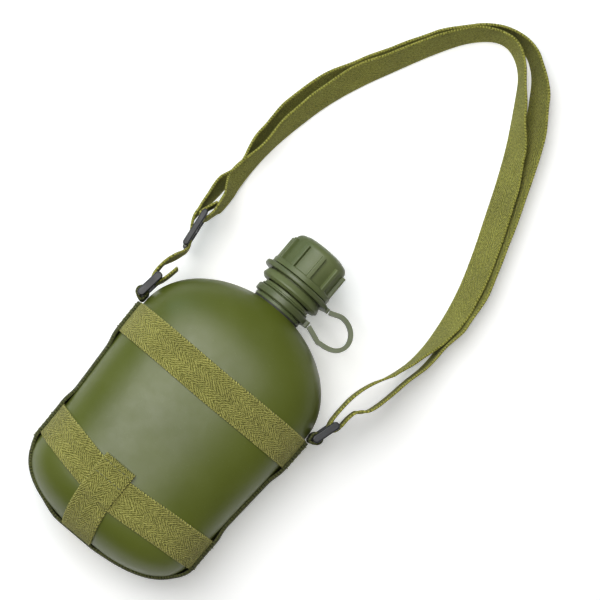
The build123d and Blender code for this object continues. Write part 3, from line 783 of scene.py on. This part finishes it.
def stitches(name, spots):
    """Short raised stitches; each spot is its middle, its direction and its normal."""
    mesh = bpy.data.meshes.new(name)
    bm = bmesh.new()
    for middle, along, normal in spots:
        side = along.cross(normal)
        rings = []
        for step in range(7):
            share = step / 6 * 2 - 1
            centre = middle + along * share * STITCH_REACH + normal * STITCH_RISE * (1 - share * share)
            radius = STITCH_RADIUS * (1 - 0.45 * share**4)
            rings.append([
                bm.verts.new(centre + (side * math.cos(a) + normal * math.sin(a)) * radius)
                for a in [math.pi * k / 4 for k in range(8)]
            ])
        for a, b in zip(rings, rings[1:]):
            for k in range(8):
                face = bm.faces.new((a[k], a[(k + 1) % 8], b[(k + 1) % 8], b[k]))
                face.smooth = True
        bm.faces.new(rings[0][::-1])
        bm.faces.new(rings[-1])
    bmesh.ops.recalc_face_normals(bm, faces=bm.faces)
    bm.to_mesh(mesh)
    bm.free()
    mesh.materials.append(THREAD)
    piece = bpy.data.objects.new(name, mesh)
    bpy.context.scene.collection.objects.link(piece)
    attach(piece, "canteen")
    return piece


def square_spots(corner, first, second, normal, size, pitch=0.003):
    """Stitches round a square, from its corner along two directions."""
    spots = []
    count = int(size / pitch)
    for i in range(count):
        step = (i + 0.5) * size / count
        spots.append((corner + first * step, first, normal))
        spots.append((corner + first * step + second * size, first, normal))
        spots.append((corner + second * step, second, normal))
        spots.append((corner + second * step + first * size, second, normal))
    return spots


def settled(tree, middle, along, normal):
    """The same stitch, moved along its normal on to the surface under it."""
    hit = tree.ray_cast(middle + normal * 0.01, -normal)[0]
    return hit + normal * STITCH_LIFT, along, normal


def band_spots():
    """A sewn square on each side where a band and the side strap meet."""
    tree = surface_of(side_strap)
    spots = []
    for middle_y in (UPPER_BAND_Y, LOWER_BAND_Y):
        for side in (-1, 1):
            heights = []
            for y in (middle_y - SQUARE_SIZE / 2, middle_y + SQUARE_SIZE / 2):
                hit = tree.ray_cast(Vector((side * 0.2, y, MID_Z)), Vector((-side, 0, 0)))[0]
                heights.append(hit)
            first = (heights[1] - heights[0]).normalized()
            normal = Vector((side * first.y, -side * first.x, 0))
            corner = heights[0] - Vector((0, 0, SQUARE_SIZE / 2)) + normal * STITCH_LIFT
            spots += square_spots(corner, first, Vector((0, 0, 1)), normal, SQUARE_SIZE)
    return [settled(tree, *spot) for spot in spots]


band_stitching = stitches("band_stitches", band_spots())
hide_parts("band_stitching")


def tab_spots():
    """Two rows across the tab where it lies over the lower band."""
    tree = surface_of(bottom_tab)
    spots = []
    for y in (-0.0665, LOWER_BAND_Y + 0.001):
        for i in range(6):
            x = TAB_X + 0.0032 * (i - 2.5)
            hit = tree.ray_cast(Vector((x, y, 0.2)), Vector((0, 0, -1)))[0]
            spots.append((hit + Vector((0, 0, STITCH_LIFT)), Vector((1, 0, 0)), Vector((0, 0, 1))))
    return spots


tab_stitching = stitches("tab_stitches", tab_spots())
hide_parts("tab_stitching")

# ---------------------------------------------------------------- strap pieces baked into world space

for strand in (strap_outer, strap_inner):
    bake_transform(strand)
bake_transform(left_end)
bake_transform(right_turn)

# ---------------------------------------------------------------- floor and light


def add_mesh(name, corners, material):
    mesh = bpy.data.meshes.new(name)
    mesh.from_pydata(corners, [], [tuple(range(len(corners)))])
    mesh.materials.append(material)
    made = bpy.data.objects.new(name, mesh)
    bpy.context.scene.collection.objects.link(made)
    return made


floor = add_mesh("floor", [(-4, -4, 0), (4, -4, 0), (4, 4, 0), (-4, 4, 0)], floor_surface())


def light(name, place, target, size, power, color=(1, 1, 1)):
    """A soft rectangular lamp that faces its target."""
    data = bpy.data.lights.new(name, "AREA")
    data.shape = "RECTANGLE"
    data.size, data.size_y = size
    data.energy = power
    data.color = color
    lamp = bpy.data.objects.new(name, data)
    lamp.location = place
    lamp.rotation_mode = "QUATERNION"
    lamp.rotation_quaternion = (Vector(target) - Vector(place)).to_track_quat("-Z", "Y")
    bpy.context.scene.collection.objects.link(lamp)


light("key", (-0.42, 0.12, 1.33), (0, 0.02, 0.04), (0.9, 1.1), 20)
light("window", (-0.85, 0.42, 0.55), (-0.04, 0.03, 0.05), (0.30, 0.40), 1.1, (0.5, 0.85, 1.0))
light("fill", (1.1, -0.7, 1.0), (0, 0.05, 0), (0.7, 0.7), 0.3)

world = bpy.data.worlds.new("studio")
world.use_nodes = True
world.node_tree.nodes["Background"].inputs["Color"].default_value = (0.98, 0.98, 1.0, 1)
world.node_tree.nodes["Background"].inputs["Strength"].default_value = 0.06
bpy.context.scene.world = world
bpy.context.scene.view_settings.view_transform = "Standard"
